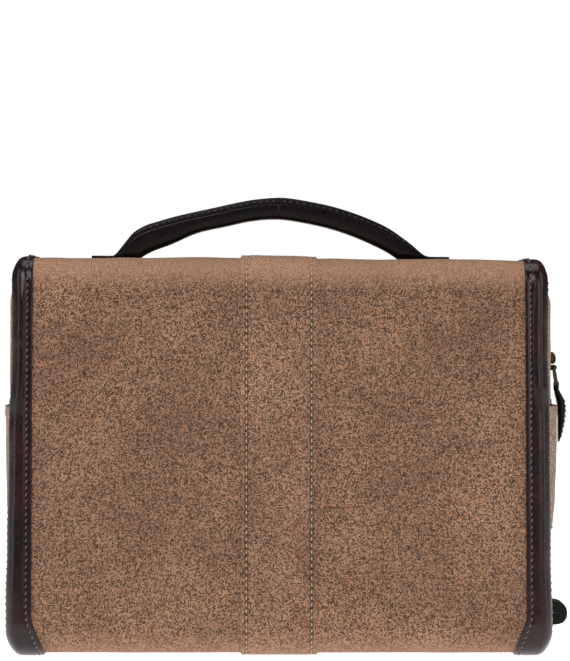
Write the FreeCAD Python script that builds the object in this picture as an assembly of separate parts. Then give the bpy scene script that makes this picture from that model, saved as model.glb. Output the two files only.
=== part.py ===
"""Small waxed-canvas doctor bag: zip-top case with leather-bound ends, a carry handle and end pockets.

Millimetres. +Z is up, the origin is the middle of the base, and the plain back of the bag faces -Y.
The side profile (YZ) is a trapezoid with rounded corners. Every layer is an offset of that profile.
Above hinge_z the walls belong to two jaws, which lean outwards when the zipper is undone.
"""

import FreeCAD
import Part
import math
import os

V = FreeCAD.Vector

# ---- overall size ----
width = 277.0             # across the leather-bound ends
height = 204.0            # base to the canvas of the top
depth_bottom = 104.0      # canvas to canvas, at the base
depth_top = 82.0          # canvas to canvas, at the top
bottom_corner_r = 16.0
top_corner_r = 13.0
hinge_z = 131.0           # where the mouth starts, level with the zipper's ends
jaw_gap = 0.3             # between the lower walls and a jaw

# ---- layers, outside to inside ----
canvas_t = 1.0
foam_t = 2.0
lining_t = 0.6
layer_gap = 0.1
band_width = 39.6
band_t = 1.3
board_t = 2.0

# ---- leather edge binding ----
leather_t = 1.3
binding_face = 12.7       # how far it covers the back, top, base and front
binding_side = 8.5        # how far it covers the end panel
binding_r = 8.0           # roll of the bound edge
skin_gap = 0.05
piping_r = 2.2
piping_inset = 5.0        # piping centre from the end of the bag
piping_depth = 3.5        # piping centre from the canvas face

# ---- end panels, end pockets and grab tab ----
gusset_t = 0.9
gusset_edge = 6.5         # the panel's edge, hidden under the binding
gusset_bulge = 4.0        # how far the panel's middle stands out
gusset_level = 14.0       # half width of the level stretch behind the zipper
gusset_foot = 26.0        # height over the base where the bulge starts
gusset_full = 75.0        # and where it is full
gusset_shoulder = 23.0    # depth under the top where it starts to fall
gusset_seam = 10.0        # and where it is gone
pocket_t = 0.9
pocket_gap = 0.2
pocket_half = 33.0        # half its width
pocket_low_z = 62.0
pocket_drop = 3.5         # its mouth, under the zipper's ends
pocket_bulge = 3.0
grab_z = 19.0
grab_height = 12.4
grab_reach = 12.0
grab_width = 20.0
grab_slit = 1.2
grab_ply = 2.4
grab_patch_t = 1.0

# ---- zipper ----
mouth_edge = 7.0          # canvas stops this far from the middle
tape_edge = 12.0
tape_t = 0.8
tape_gap = 0.2
chain_half_gap = 0.45
chain_width = 2.0
chain_t = 2.2
zip_corner_r = 9.0
zip_low_z = hinge_z + 1.5
slider_rest = 17.5  # the slider's middle over the foot of the zipper, bag closed
slider_length = 10.0
slider_z = min(zip_low_z + slider_rest, height - gusset_shoulder - slider_length / 2 - 1.0)
slider_width = 8.4
slider_plate_t = 1.1
slider_clear = 0.3
slider_bridge_t = 0.6
slider_bridge_length = 5.0
bail_reach = 1.9          # bail bar centre from the slider's outer plate
bail_drop = 3.0           # and under the slider's middle
bail_bar_r = 0.7
bail_half = 2.4
bail_ear_t = 1.0
pivot_clear = 0.1
link_length = 8.5         # bar to bar
link_width = 7.6
link_t = 1.4
link_rail = 1.3
link_eye_r = 1.5
link_eye_width = 3.0
link_shoulder = 3.8       # from the bail bar's centre to the opening
link_tilt = 9.0           # degrees from hanging straight
tab_width = 11.0
tab_neck_width = 4.2
tab_neck_length = 4.0
tab_eye_r = 1.5
# The leather pull from its side: distance out from the ring's centre, distance under it
tab_inner = [(-1.3, 3.0), (-0.4, 7.0), (0.5, 11.0), (0.8, 18.0), (0.8, 25.0), (0.9, 30.5)]
tab_outer = [(1.5, 30.5), (2.9, 26.0), (4.2, 20.0), (4.8, 13.5), (4.2, 8.5), (1.3, 3.0)]
end_tab_height = 9.4
end_tab_width = 12.0
end_tab_t = 1.2

# ---- carry handle, on the back jaw's top ----
handle_y = -18.0
handle_width = 17.0
handle_end_t = 2.4
handle_r = 2.2            # roll of its long edges
handle_left = -0.350      # its two ends, as a share of the bag's width
handle_right = 0.318
handle_split_left = -0.205  # the grip is free between these
handle_split_right = 0.178
handle_split_gap = 0.3
handle_pivot_rise = 11.0
handle_seat_gap = 0.1
# Lines of the leather: share of the bag's width, height over the top
handle_crest = [
    (-0.318, 2.5), (-0.312, 2.6), (-0.294, 6.6), (-0.2725, 13.6), (-0.254, 16.8), (-0.221, 19.8),
    (-0.125, 25.9), (-0.033, 31.0), (0.004, 31.8), (0.055, 30.2), (0.107, 27.2), (0.162, 22.0),
    (0.206, 16.2), (0.236, 10.4), (0.256, 6.2), (0.272, 3.4), (0.284, 2.6), (0.290, 2.5),
]
handle_belly = [
    (-0.262, 0.1), (-0.247, 2.6), (-0.202, 7.4), (-0.155, 12.8), (-0.099, 16.3), (-0.052, 19.2),
    (-0.007, 20.4), (0.048, 18.8), (0.107, 15.1), (0.162, 9.4), (0.210, 2.6), (0.223, 0.1),
]

# ---- stays, base board and inner pocket ----
stay_width = 9.0
stay_t = 1.0
inner_pocket_half = 0.29 * width
inner_pocket_z0 = 40.0
inner_pocket_z1 = 112.0
inner_pocket_gap = 9.0
inner_pocket_t = 0.8

# ---- derived ----
end_x = width / 2
base_z = skin_gap + band_t  # the base's canvas sits on the centre band
lean = math.atan2((depth_bottom - depth_top) / 2, height - base_z)
lining_d = canvas_t + foam_t + 4 * layer_gap
lining_inset = leather_t + gusset_t + tape_t + 4 * layer_gap
lining_fillet = 9.0
pocket_top_z = hinge_z - pocket_drop
far = 400.0
outer_d = leather_t + skin_gap


def half_depth(z, d=0.0):
    """Half the bag's depth at height z, on the surface d outside the canvas."""
    return depth_bottom / 2 - (z - base_z) * math.tan(lean) + d / math.cos(lean)


def rounded_outline(points, radii):
    """Closed wire through points, each corner rounded by its radius."""
    edges = []
    starts = []
    ends = []
    count = len(points)
    for i, (p, r) in enumerate(zip(points, radii)):
        to_last = (points[i - 1] - p).normalize()
        to_next = (points[(i + 1) % count] - p).normalize()
        if r <= 0:
            starts.append(p)
            ends.append(p)
            continue
        half = to_last.getAngle(to_next) / 2
        reach = r / math.tan(half)
        a = p + to_last * reach
        b = p + to_next * reach
        middle = p + (to_last + to_next).normalize() * (r / math.sin(half) - r)
        edges.append(Part.Arc(a, middle, b).toShape())
        starts.append(a)
        ends.append(b)
    for i in range(count):
        a, b = ends[i], starts[(i + 1) % count]
        if (b - a).Length > 1e-6:
            edges.append(Part.LineSegment(a, b).toShape())
    return Part.Wire(Part.__sortEdges__(edges))


def profile_wire(d, x=0.0):
    """The side profile, d outside the canvas, at one x."""
    low, high = base_z - d, height + d
    corners = [
        V(x, -half_depth(low, d), low),
        V(x, half_depth(low, d), low),
        V(x, half_depth(high, d), high),
        V(x, -half_depth(high, d), high),
    ]
    radii = [bottom_corner_r + d, bottom_corner_r + d, top_corner_r + d, top_corner_r + d]
    return rounded_outline(corners, radii)


def prism(d, half):
    """The profile d outside the canvas, as a solid from -half to half along X."""
    return Part.Face(profile_wire(d, -half)).extrude(V(2 * half, 0, 0))


def pillow(d, inset, radius):
    """prism with its two end rims rolled over by radius."""
    half = end_x - inset
    solid = prism(d, half)
    rims = [e for e in solid.Edges if all(abs(abs(v.X) - half) < 1e-6 for v in e.Vertexes)]
    return solid.makeFillet(radius, rims)


def block(x0, x1, y0, y1, z0, z1):
    return Part.makeBox(x1 - x0, y1 - y0, z1 - z0, V(x0, y0, z0))


def rod(r, length, centre, axis):
    """A cylinder with its middle at centre."""
    axis = V(axis).normalize()
    return Part.makeCylinder(r, length, centre - axis * (length / 2), axis)


def lower(shape):
    """What of a wall layer stays with the body."""
    return shape.common(block(-far, far, -far, far, -far, hinge_z))


def upper(shape, side, edge=mouth_edge):
    """What of a wall layer belongs to one jaw: side -1 is the back, 1 the front."""
    y0, y1 = sorted((side * edge, side * far))
    return shape.common(block(-far, far, y0, y1, hinge_z + jaw_gap, far))


parts = {}
sides = {"back": -1, "front": 1}
ends = {"left": -1, "right": 1}


def add(name, shape):
    """Keeps a shape under its node name, as the solids it is made of."""
    solids = shape.Solids
    parts[name] = solids[0] if len(solids) == 1 else Part.makeCompound(solids)


# ---- walls ----
def wall_layers():
    """Canvas, centre band, foam and lining, each cut into the body's and the jaws' share."""
    canvas_half = end_x - binding_r - 1.0
    canvas = prism(0, canvas_half).cut(prism(-canvas_t, far))
    band = prism(base_z, band_width / 2).cut(prism(skin_gap, far))
    foam_out = -canvas_t - layer_gap
    foam = prism(foam_out, end_x - binding_face).cut(prism(foam_out - foam_t, far))
    lining = pillow(-lining_d, lining_inset, lining_fillet)
    lining = lining.cut(
        pillow(-lining_d - lining_t, lining_inset + lining_t, lining_fillet - lining_t)
    )
    add("canvas_body", lower(canvas))
    add("center_band_body", lower(band))
    add("foam_body", lower(foam))
    add("lining_body", lower(lining))
    for name, side in sides.items():
        add(f"canvas_{name}_top", upper(canvas, side))
        add(f"center_band_{name}_top", upper(band, side))
        add(f"foam_{name}_top", upper(foam, side, tape_edge + 1.0))
        add(f"lining_{name}_top", upper(lining, side, tape_edge + 1.0))


def leather_binding():
    """The leather rolled over both bound edges, and the piping inside it."""
    shell = pillow(outer_d, 0, binding_r)
    shell = shell.cut(pillow(skin_gap, leather_t, binding_r - leather_t))
    shell = shell.cut(prism(-binding_side, far))
    shell = shell.cut(block(binding_face - end_x, end_x - binding_face, -far, far, -far, far))
    for name, end in ends.items():
        x0, x1 = sorted((0, end * far))
        rim = shell.common(block(x0, x1, -far, far, -far, far))
        centre = end * (end_x - piping_inset)
        path = profile_wire(-piping_depth, centre)
        first = path.Edges[0]
        start = first.FirstParameter
        circle = Part.Wire(Part.makeCircle(piping_r, first.valueAt(start), first.tangentAt(start)))
        piping = path.makePipeShell([circle], True, True)
        add(f"binding_{name}_body", lower(rim))
        add(f"piping_{name}_body", lower(piping))
        for side_name, side in sides.items():
            add(f"binding_{name}_{side_name}", upper(rim, side))
            add(f"piping_{name}_{side_name}", upper(piping, side, tape_edge + 1.0))


def smooth(t):
    t = min(max(t, 0.0), 1.0)
    return t * t * (3 - 2 * t)


def gusset_fall(z):
    """The share of the bulge that is left near the top: all under the shoulder, none over the seam."""
    return smooth((height - gusset_seam - z) / (gusset_shoulder - gusset_seam))


def gusset_rise(y, z):
    """How far the end panel stands out: level behind the zipper, nothing along the binding."""
    edge = half_depth(z) - binding_side
    across = smooth((edge - abs(y)) / (edge - gusset_level))
    return gusset_bulge * across * gusset_fall(z) * smooth((z - gusset_foot) / (gusset_full - gusset_foot))


def pocket_rise(y, z):
    """How far the end pocket stands off its panel: nothing at its sewn edges, most at its mouth."""
    across = math.cos(math.pi * y / (2 * pocket_half)) ** 2
    t = (z - pocket_low_z) / (pocket_top_z - pocket_low_z)
    return pocket_bulge * across * math.sin(math.pi * t * 0.62)


def bulged_sheet(rise, x, y1, z0, z1, thickness, end):
    """A sheet over y -y1..y1 and z0..z1, its inner face rise(y, z) beyond x."""
    across, up = 26, 56
    grid = []
    for i in range(across + 1):
        y = -y1 + 2 * y1 * i / across
        heights = [z0 + (z1 - z0) * k / up for k in range(up + 1)]
        grid.append([V(end * (x + rise(y, z)), y, z) for z in heights])
    surface = Part.BSplineSurface()
    surface.interpolate(grid)
    return surface.toShape().extrude(V(end * thickness, 0, 0))


def end_panels():
    """Bulged end panels, the slip pockets on them and the leather tab under each zipper end."""
    for name, end in ends.items():
        panel_x = end_x - outer_d - gusset_t
        panel = bulged_sheet(gusset_rise, panel_x, depth_bottom / 2 + 2, -5, height + 5, gusset_t, end)
        panel = panel.common(prism(-gusset_edge, far))
        add(f"end_panel_{name}_body", lower(panel))
        for side_name, side in sides.items():
            add(f"end_panel_{name}_{side_name}", upper(panel, side))

        def both(y, z):
            return gusset_rise(y, z) + pocket_rise(y, z)

        pocket_x = end_x - outer_d + pocket_gap
        pocket = bulged_sheet(both, pocket_x, pocket_half, pocket_low_z, pocket_top_z, pocket_t, end)
        add(f"end_pocket_{name}", pocket)

        tab_top = hinge_z - 0.1
        tab_x = end_x - outer_d + gusset_bulge + layer_gap
        x0, x1 = sorted((end * tab_x, end * (tab_x + end_tab_t)))
        half = end_tab_width / 2
        end_tab = block(x0, x1, -half, half, tab_top - end_tab_height, tab_top)
        upright = [e for e in end_tab.Edges if abs(e.Vertexes[0].X - e.Vertexes[1].X) > 0.1]
        add(f"zip_end_tab_{name}", end_tab.makeFillet(2.0, upright))


def grab_tab():
    """Folded leather loop low on the right end, held while the zipper is pulled."""
    back_x = end_x - outer_d + layer_gap
    half_h = grab_height / 2
    patch = block(
        back_x, back_x + grab_patch_t, -grab_width / 2, grab_width / 2, grab_z - half_h, grab_z + half_h
    )
    root_x = back_x + grab_patch_t
    tip_x = end_x + grab_reach
    corners = [
        V(root_x, 0, grab_z - half_h),
        V(tip_x, 0, grab_z - half_h),
        V(tip_x, 0, grab_z + half_h),
        V(root_x, 0, grab_z + half_h),
    ]
    loop = Part.Face(rounded_outline(corners, [0, half_h - 0.5, half_h - 0.5, 0]))
    loop = loop.extrude(V(0, grab_width, 0))
    loop.translate(V(0, -grab_width / 2, 0))
    slit_end = tip_x - grab_ply
    slit = block(root_x, slit_end, -far, far, grab_z - grab_slit / 2, grab_z + grab_slit / 2)
    add("grab_tab", loop.cut(slit).fuse(patch))


# ---- zipper ----
def side_line(x, end, low, high):
    """One end of the zipper's path: straight up the bulge, in over the shoulder, up to the corner."""
    shoulder, seam = height - gusset_shoulder, height - gusset_seam
    steps = 8
    points = []
    for i in range(steps + 1):
        z = shoulder + (seam - shoulder) * i / steps
        points.append(V(end * (x + gusset_bulge * gusset_fall(z)), 0, z))
    curve = Part.BSplineCurve()
    curve.interpolate(Points=points, InitialTangent=V(0, 0, 1), FinalTangent=V(0, 0, 1))
    return [
        Part.makeLine(V(end * (x + gusset_bulge), 0, low), points[0]),
        curve.toShape(),
        Part.makeLine(points[-1], V(end * x, 0, high)),
    ]


def arch(inset, drop, low):
    """The zipper's path in XZ as a face: up one end, over the top, down the other."""
    x = end_x - inset
    top = height - drop
    r = zip_corner_r - inset
    slant = r * (1 - math.sqrt(0.5))
    edges = [
        Part.makeLine(V(-x - gusset_bulge, 0, low), V(x + gusset_bulge, 0, low)),
        Part.makeLine(V(r - x, 0, top), V(x - r, 0, top)),
    ]
    for end in (-1, 1):
        edges += side_line(x, end, low, top - r)
        middle = V(end * (x - slant), 0, top - slant)
        edges.append(Part.Arc(V(end * x, 0, top - r), middle, V(end * (x - r), 0, top)).toShape())
    return Part.Face(Part.Wire(Part.__sortEdges__(edges)))


def arch_band(inset, drop, thickness, y0, y1, low):
    """A strip that follows the zipper's path, from y0 to y1."""
    outer = arch(inset, drop, low)
    inner = arch(inset + thickness, drop + thickness, low - 1.0)
    strip = outer.cut(inner)
    solid = strip.extrude(V(0, y1 - y0, 0))
    solid.translate(V(0, y0, 0))
    return solid


tape_inset = outer_d + gusset_t + tape_gap
tape_drop = canvas_t + skin_gap


def zipper():
    """Two tapes and two chains, one of each to a jaw."""
    proud = (chain_t - tape_t) / 2
    for name, side in sides.items():
        y0, y1 = sorted((side * (chain_half_gap + chain_width + skin_gap), side * tape_edge))
        add(f"zip_tape_{name}", arch_band(tape_inset, tape_drop, tape_t, y0, y1, zip_low_z))
        y0, y1 = sorted((side * chain_half_gap, side * (chain_half_gap + chain_width)))
        chain = arch_band(tape_inset - proud, tape_drop - proud, chain_t, y0, y1, zip_low_z + 2.0)
        add(f"zip_chain_{name}", chain)


chain_x = end_x - tape_inset - tape_t / 2 + gusset_bulge  # middle of the chain on the right end
slider_face_x = chain_x + chain_t / 2 + slider_clear + slider_plate_t
bail_x = slider_face_x + bail_reach
bail_z = slider_z - bail_drop


def slider():
    """Two plates round the chain, the bridge between them and the bail that holds the pull."""
    half = slider_width / 2
    z0, z1 = slider_z - slider_length / 2, slider_z + slider_length / 2
    reach = chain_t / 2 + slider_clear
    plates = []
    for x0 in (chain_x + reach, chain_x - reach - slider_plate_t):
        plate = block(x0, x0 + slider_plate_t, -half, half, z0, z1)
        corners = [e for e in plate.Edges if abs(e.Vertexes[0].X - e.Vertexes[1].X) > 0.1]
        plates.append(plate.makeFillet(2.0, corners))
    bridge = block(
        chain_x - reach - 0.2, chain_x + reach + 0.2,
        -slider_bridge_t / 2, slider_bridge_t / 2, z0 + 0.5, z0 + 0.5 + slider_bridge_length,
    )
    body = plates[0].fuse([plates[1], bridge])
    ear_half = bail_bar_r + 0.7
    for end in (-1, 1):
        y0, y1 = sorted((end * bail_half, end * (bail_half + bail_ear_t)))
        ear = block(slider_face_x - 0.2, bail_x, y0, y1, bail_z - ear_half, bail_z + ear_half)
        nose = rod(ear_half, bail_ear_t, V(bail_x, (y0 + y1) / 2, bail_z), V(0, 1, 0))
        body = body.fuse([ear, nose])
    bar = rod(bail_bar_r, 2 * bail_half + 0.4, V(bail_x, 0, bail_z), V(0, 1, 0))
    add("zip_slider", body.fuse(bar).removeSplitter())


def pull():
    """The metal link on the bail and the bowed leather tab on the link, hanging over the end pocket."""
    across = V(0, 1, 0)
    bar_z = -link_length
    half = link_width / 2
    eye = rod(link_eye_r, link_eye_width, V(0, 0, 0), across)
    eye_half = link_eye_width / 2
    stem = block(-link_t / 2, link_t / 2, -eye_half, eye_half, -link_shoulder, 0)
    shoulder = block(-link_t / 2, link_t / 2, -half, half, -link_shoulder, 1.5 - link_shoulder)
    link = eye.fuse([stem, shoulder])
    for end in (-1, 1):
        y0, y1 = sorted((end * half, end * (half - link_rail)))
        link = link.fuse(block(-link_t / 2, link_t / 2, y0, y1, bar_z, -link_shoulder + 0.5))
    link = link.fuse(rod(bail_bar_r, link_width, V(0, 0, bar_z), across))
    link = link.cut(rod(bail_bar_r + pivot_clear, far, V(0, 0, 0), across)).removeSplitter()
    link.rotate(V(0, 0, 0), V(0, -1, 0), link_tilt)
    link.translate(V(bail_x, 0, bail_z))
    add("pull_link", link)

    inner = [V(x, 0, -z) for x, z in tab_inner]
    outer = [V(x, 0, -z) for x, z in tab_outer]
    sides_of_leaf = [
        spline(inner),
        Part.makeLine(inner[-1], outer[0]),
        spline(outer),
        Part.makeLine(outer[-1], inner[0]),
    ]
    leaf = Part.Face(Part.Wire(Part.__sortEdges__(sides_of_leaf))).extrude(V(0, tab_width, 0))
    leaf.translate(V(0, -tab_width / 2, 0))
    neck_half = tab_neck_width / 2
    reach = tab_outer[-1][0]
    for end in (-1, 1):
        y0, y1 = sorted((end * neck_half, end * far))
        leaf = leaf.cut(block(-far, far, y0, y1, -tab_neck_length, far))
    neck = block(-reach, reach, -neck_half, neck_half, -tab_neck_length, 0)
    eye = rod(tab_eye_r, tab_neck_width, V(0, 0, 0), across)
    tab = eye.fuse([neck, leaf]).cut(rod(bail_bar_r + pivot_clear, far, V(0, 0, 0), across))
    tab = tab.removeSplitter()
    tab.translate(V(ring_x, 0, ring_z))
    add("pull_tab", tab)


ring_x = bail_x + link_length * math.sin(math.radians(link_tilt))
ring_z = bail_z - link_length * math.cos(math.radians(link_tilt))


# ---- carry handle ----
def spline(points):
    """A smooth line through points."""
    curve = Part.BSplineCurve()
    curve.interpolate(Points=points)
    return curve.toShape()


def handle_leather():
    """The whole handle as one slab: flat ends on the top, an arched grip between them."""
    seat = height + handle_seat_gap
    left, right = handle_left * width, handle_right * width
    top = seat + handle_end_t
    crest = [V(x * width, 0, height + rise) for x, rise in handle_crest]
    belly = [V(x * width, 0, height + rise) for x, rise in handle_belly]
    outline = Part.Wire(Part.__sortEdges__([
        Part.makeLine(V(left, 0, top), crest[0]),
        spline(crest),
        Part.makeLine(crest[-1], V(right, 0, top)),
        Part.makeLine(V(right, 0, top), V(right, 0, seat)),
        Part.makeLine(V(right, 0, seat), belly[-1]),
        spline(belly),
        Part.makeLine(belly[0], V(left, 0, seat)),
        Part.makeLine(V(left, 0, seat), V(left, 0, top)),
    ]))
    slab = Part.Face(outline).extrude(V(0, handle_width, 0))
    slab.translate(V(0, handle_y - handle_width / 2, 0))
    return slab


def long_edges(shape):
    """The edges along the handle, apart from the seat's."""
    seat = height + handle_seat_gap
    found = []
    for e in shape.Edges:
        on_side = abs(abs(e.CenterOfMass.y - handle_y) - handle_width / 2) < 0.01
        along = e.BoundBox.XLength > 5 and e.BoundBox.ZMax > seat + 1
        if on_side and along:
            found.append(e)
    return found


def handle():
    slab = handle_leather()
    gap = handle_split_gap / 2
    seat = height + handle_seat_gap
    x0, x1 = handle_split_left * width, handle_split_right * width
    grip = slab.common(block(x0 + gap, x1 - gap, -far, far, 0, far))
    add("handle_grip", grip.makeFillet(handle_r, long_edges(grip)))
    for name, a, b in (("left", -far, x0 - gap), ("right", x1 + gap, far)):
        end = slab.common(block(a, b, -far, far, 0, far))
        arched = [e for e in long_edges(end) if e.BoundBox.ZMax > seat + 2 * handle_end_t]
        add(f"handle_end_{name}", end.makeFillet(handle_r, arched))


# ---- stiffeners and the inner pocket ----
def stiffeners():
    """Spring-steel stays along the two top edges and the board in the base, all behind the lining's face."""
    stay_z = height - lining_d - lining_t - layer_gap
    for name, side in sides.items():
        y = side * (half_depth(height) - top_corner_r - stay_width / 2 - 2.0)
        half = end_x - 24.0
        stay = block(-half, half, y - stay_width / 2, y + stay_width / 2, stay_z - stay_t, stay_z)
        corners = [e for e in stay.Edges if abs(e.Vertexes[0].Z - e.Vertexes[1].Z) > 0.1]
        add(f"top_stay_{name}", stay.makeFillet(3.0, corners))
    board_z = base_z + lining_d + lining_t + layer_gap
    half_y = half_depth(board_z) - lining_d - bottom_corner_r
    half_x = end_x - lining_inset - lining_fillet - 2.0
    board = block(-half_x, half_x, -half_y, half_y, board_z, board_z + board_t)
    corners = [e for e in board.Edges if abs(e.Vertexes[0].Z - e.Vertexes[1].Z) > 0.1]
    add("base_board", board.makeFillet(6.0, corners))


def inner_pocket():
    """Slip pocket on the back wall: a face held off the lining by its two sides and its floor."""
    wall_d = lining_d + lining_t + layer_gap
    face_d = wall_d + inner_pocket_gap
    half = inner_pocket_half
    t = inner_pocket_t
    zone = block(-half, half, -far, 0, inner_pocket_z0, inner_pocket_z1)
    room_zone = block(t - half, half - t, -far, 0, inner_pocket_z0 + t, far)
    bag = prism(-wall_d, half).cut(prism(-face_d - t, far)).common(zone)
    room = prism(1 - wall_d, far).cut(prism(-face_d, far)).common(room_zone)
    add("inner_pocket", bag.cut(room))


wall_layers()
leather_binding()
end_panels()
grab_tab()
zipper()
slider()
pull()
handle()
stiffeners()
inner_pocket()

os.makedirs("parts", exist_ok=True)
for name, shape in parts.items():
    if not shape.isValid():
        print("INVALID", name)
    shape.exportStep(f"parts/{name}.step")
hinge_y = half_depth(hinge_z, outer_d) + 0.4
print(len(parts), "nodes; mouth hinge y", round(hinge_y, 3), "slider", round(slider_face_x, 2), slider_z,
      "bail", round(bail_x, 3), bail_z, "ring", round(ring_x, 3), round(ring_z, 3),
      "handle pivot", handle_y, height + handle_pivot_rise)
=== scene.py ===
"""Visual model of the doctor bag: waxed canvas, bound ends, zip top and padded handle, on the CAD frame."""

import math

import bmesh
import bpy
import numpy as np
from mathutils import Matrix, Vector, noise


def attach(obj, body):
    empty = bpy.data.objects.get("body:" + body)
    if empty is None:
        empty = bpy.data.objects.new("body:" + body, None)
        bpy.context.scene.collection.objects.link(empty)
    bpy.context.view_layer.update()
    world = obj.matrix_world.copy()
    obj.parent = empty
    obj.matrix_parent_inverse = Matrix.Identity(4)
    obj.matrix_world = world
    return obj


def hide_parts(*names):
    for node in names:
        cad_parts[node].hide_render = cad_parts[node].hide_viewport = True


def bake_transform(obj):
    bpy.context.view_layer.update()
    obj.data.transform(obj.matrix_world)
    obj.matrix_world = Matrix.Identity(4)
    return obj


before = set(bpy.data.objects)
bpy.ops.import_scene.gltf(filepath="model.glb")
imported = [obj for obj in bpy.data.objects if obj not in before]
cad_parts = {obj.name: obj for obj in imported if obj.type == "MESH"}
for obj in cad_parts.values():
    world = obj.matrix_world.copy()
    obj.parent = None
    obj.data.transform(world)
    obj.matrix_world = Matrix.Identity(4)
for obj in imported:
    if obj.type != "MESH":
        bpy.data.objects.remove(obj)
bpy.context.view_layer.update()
MM = 0.001

# ---------------------------------------------------------------- sizes, mm, as in the CAD
HEIGHT = 204.0
BASE_Z = 1.35
DEPTH_BOTTOM = 104.0
DEPTH_TOP = 82.0
R_BOTTOM = 16.0
R_TOP = 13.0
END_X = 138.5
OUTER_D = 1.35
MOUTH = 7.0
HINGE_Z = 131.0
SLOPE = (DEPTH_BOTTOM - DEPTH_TOP) / 2 / (HEIGHT - BASE_Z)
BINDING_FACE = 12.7
BINDING_SIDE = 8.5
BULGES = {-1: 2.6, 1: 4.0}
BAND_HALF = 19.8
HANDLE_Y = -18.0
# signs of the two walls and of the two ends
SIDES = {"back": -1, "front": 1}
ENDS = {"left": -1, "right": 1}


def smooth(t):
    t = np.clip(t, 0.0, 1.0)
    return t * t * (3 - 2 * t)


def half_depth(z):
    return DEPTH_BOTTOM / 2 - (z - BASE_Z) * SLOPE


def ripple(x, y, size, seed):
    """Smooth noise in -1..1, its features about size mm across."""
    return noise.noise(Vector((x / size + seed * 7.31, y / size - seed * 3.17, seed * 1.7)))


def squared(value, power):
    """A sine or cosine pushed towards 1, which squares a round section off."""
    return math.copysign(abs(value) ** power, value)


def bell(offset, width):
    return math.exp(-((offset / width) ** 2))


def arc_of(path):
    """Arc length at each point of a path."""
    return np.concatenate([[0], np.cumsum(np.linalg.norm(np.diff(path, axis=0), axis=1))])


# ---------------------------------------------------------------- the side profile
def trace(corners, radii, step):
    """Points, outward normals and arc lengths along a rounded polyline in (y, z), outward on its left."""
    pts, nor = [], []
    count = len(corners)
    last = np.array(corners[0], float)
    for i in range(1, count):
        a, b = np.array(corners[i - 1], float), np.array(corners[i], float)
        d = (b - a) / np.linalg.norm(b - a)
        n = np.array([d[1], -d[0]])
        stop = b
        if i < count - 1:
            c = np.array(corners[i + 1], float)
            e = (c - b) / np.linalg.norm(c - b)
            half = math.acos(np.clip(np.dot(-d, e), -1, 1)) / 2
            reach = radii[i] / math.tan(half)
            stop = b - d * reach
        length = np.linalg.norm(stop - last)
        for k in range(max(1, int(length / step))):
            pts.append(last + (stop - last) * k / max(1, int(length / step)))
            nor.append(n)
        if i < count - 1:
            n2 = np.array([e[1], -e[0]])
            centre = stop - n * radii[i]
            turn = math.acos(np.clip(np.dot(n, n2), -1, 1))
            ways = max(6, int(turn * radii[i] / 1.2))
            for k in range(ways):
                t = k / ways
                m = n * math.sin((1 - t) * turn) / math.sin(turn) + n2 * math.sin(t * turn) / math.sin(turn)
                pts.append(centre + m * radii[i])
                nor.append(m)
            last = b + e * reach
        else:
            pts.append(b)
            nor.append(n)
    pts, nor = np.array(pts), np.array(nor)
    return pts, nor, arc_of(pts)


BACK = trace(
    [(-MOUTH, HEIGHT), (-DEPTH_TOP / 2, HEIGHT), (-DEPTH_BOTTOM / 2, BASE_Z), (0, BASE_Z)],
    [0, R_TOP, R_BOTTOM, 0], 2.0,
)
# trace puts outward on the side that this outline needs when walked from the mouth down the back
if BACK[1][0][1] < 0:
    BACK = (BACK[0], -BACK[1], BACK[2])


def along(s):
    """Where the profile is at arc length s from the mouth: y, z and its normal."""
    p, n, arc = BACK
    y, z = np.interp(s, arc, p[:, 0]), np.interp(s, arc, p[:, 1])
    m = np.array([np.interp(s, arc, n[:, 0]), np.interp(s, arc, n[:, 1])])
    return y, z, m / np.linalg.norm(m)


LENGTH = BACK[2][-1]
FOOT_Z = 14.0  # under this height the canvas is coloured paler
WALL_FOOT = float(np.interp(FOOT_Z, BACK[0][::-1, 1], BACK[2][::-1])) * MM


# ---------------------------------------------------------------- mesh helpers
def settle(verts):
    """The top has sunk a little, more towards the right end, as a soft bag's does."""
    verts = np.array(verts, float)
    up = smooth((verts[:, 2] - 150.0) / 54.0)
    sag = 0.2 + 1.2 * smooth((verts[:, 0] + 50.0) / 170.0) + 0.25 * np.sin(verts[:, 0] / 17.0)
    verts[:, 2] -= up * sag
    return verts


def put(name, data):
    obj = bpy.data.objects.new(name, data)
    bpy.context.scene.collection.objects.link(obj)
    return obj


def facing(grid, axis, way):
    """Normals for a grid that all look one way along an axis."""
    normals = np.zeros_like(grid)
    normals[..., axis] = way
    return normals


def add_mesh(name, verts, faces, material, cloth=None):
    mesh = bpy.data.meshes.new(name)
    mesh.from_pydata([tuple(v) for v in settle(verts) * MM], [], faces)
    mesh.update()
    if cloth is not None:
        layer = mesh.attributes.new("cloth", "FLOAT_VECTOR", "POINT")
        flat = np.zeros((len(verts), 3), np.float32)
        flat[:, :2] = np.asarray(cloth, np.float32)[:, :2] * MM
        layer.data.foreach_set("vector", flat.ravel())
    obj = put(name, mesh)
    mesh.materials.append(material)
    mesh.polygons.foreach_set("use_smooth", [len(p.vertices) <= 4 for p in mesh.polygons])
    return obj


def turn_out(obj):
    """Makes every face of a closed mesh face outwards."""
    bm = bmesh.new()
    bm.from_mesh(obj.data)
    bmesh.ops.recalc_face_normals(bm, faces=bm.faces)
    bm.to_mesh(obj.data)
    bm.free()
    return obj


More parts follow.
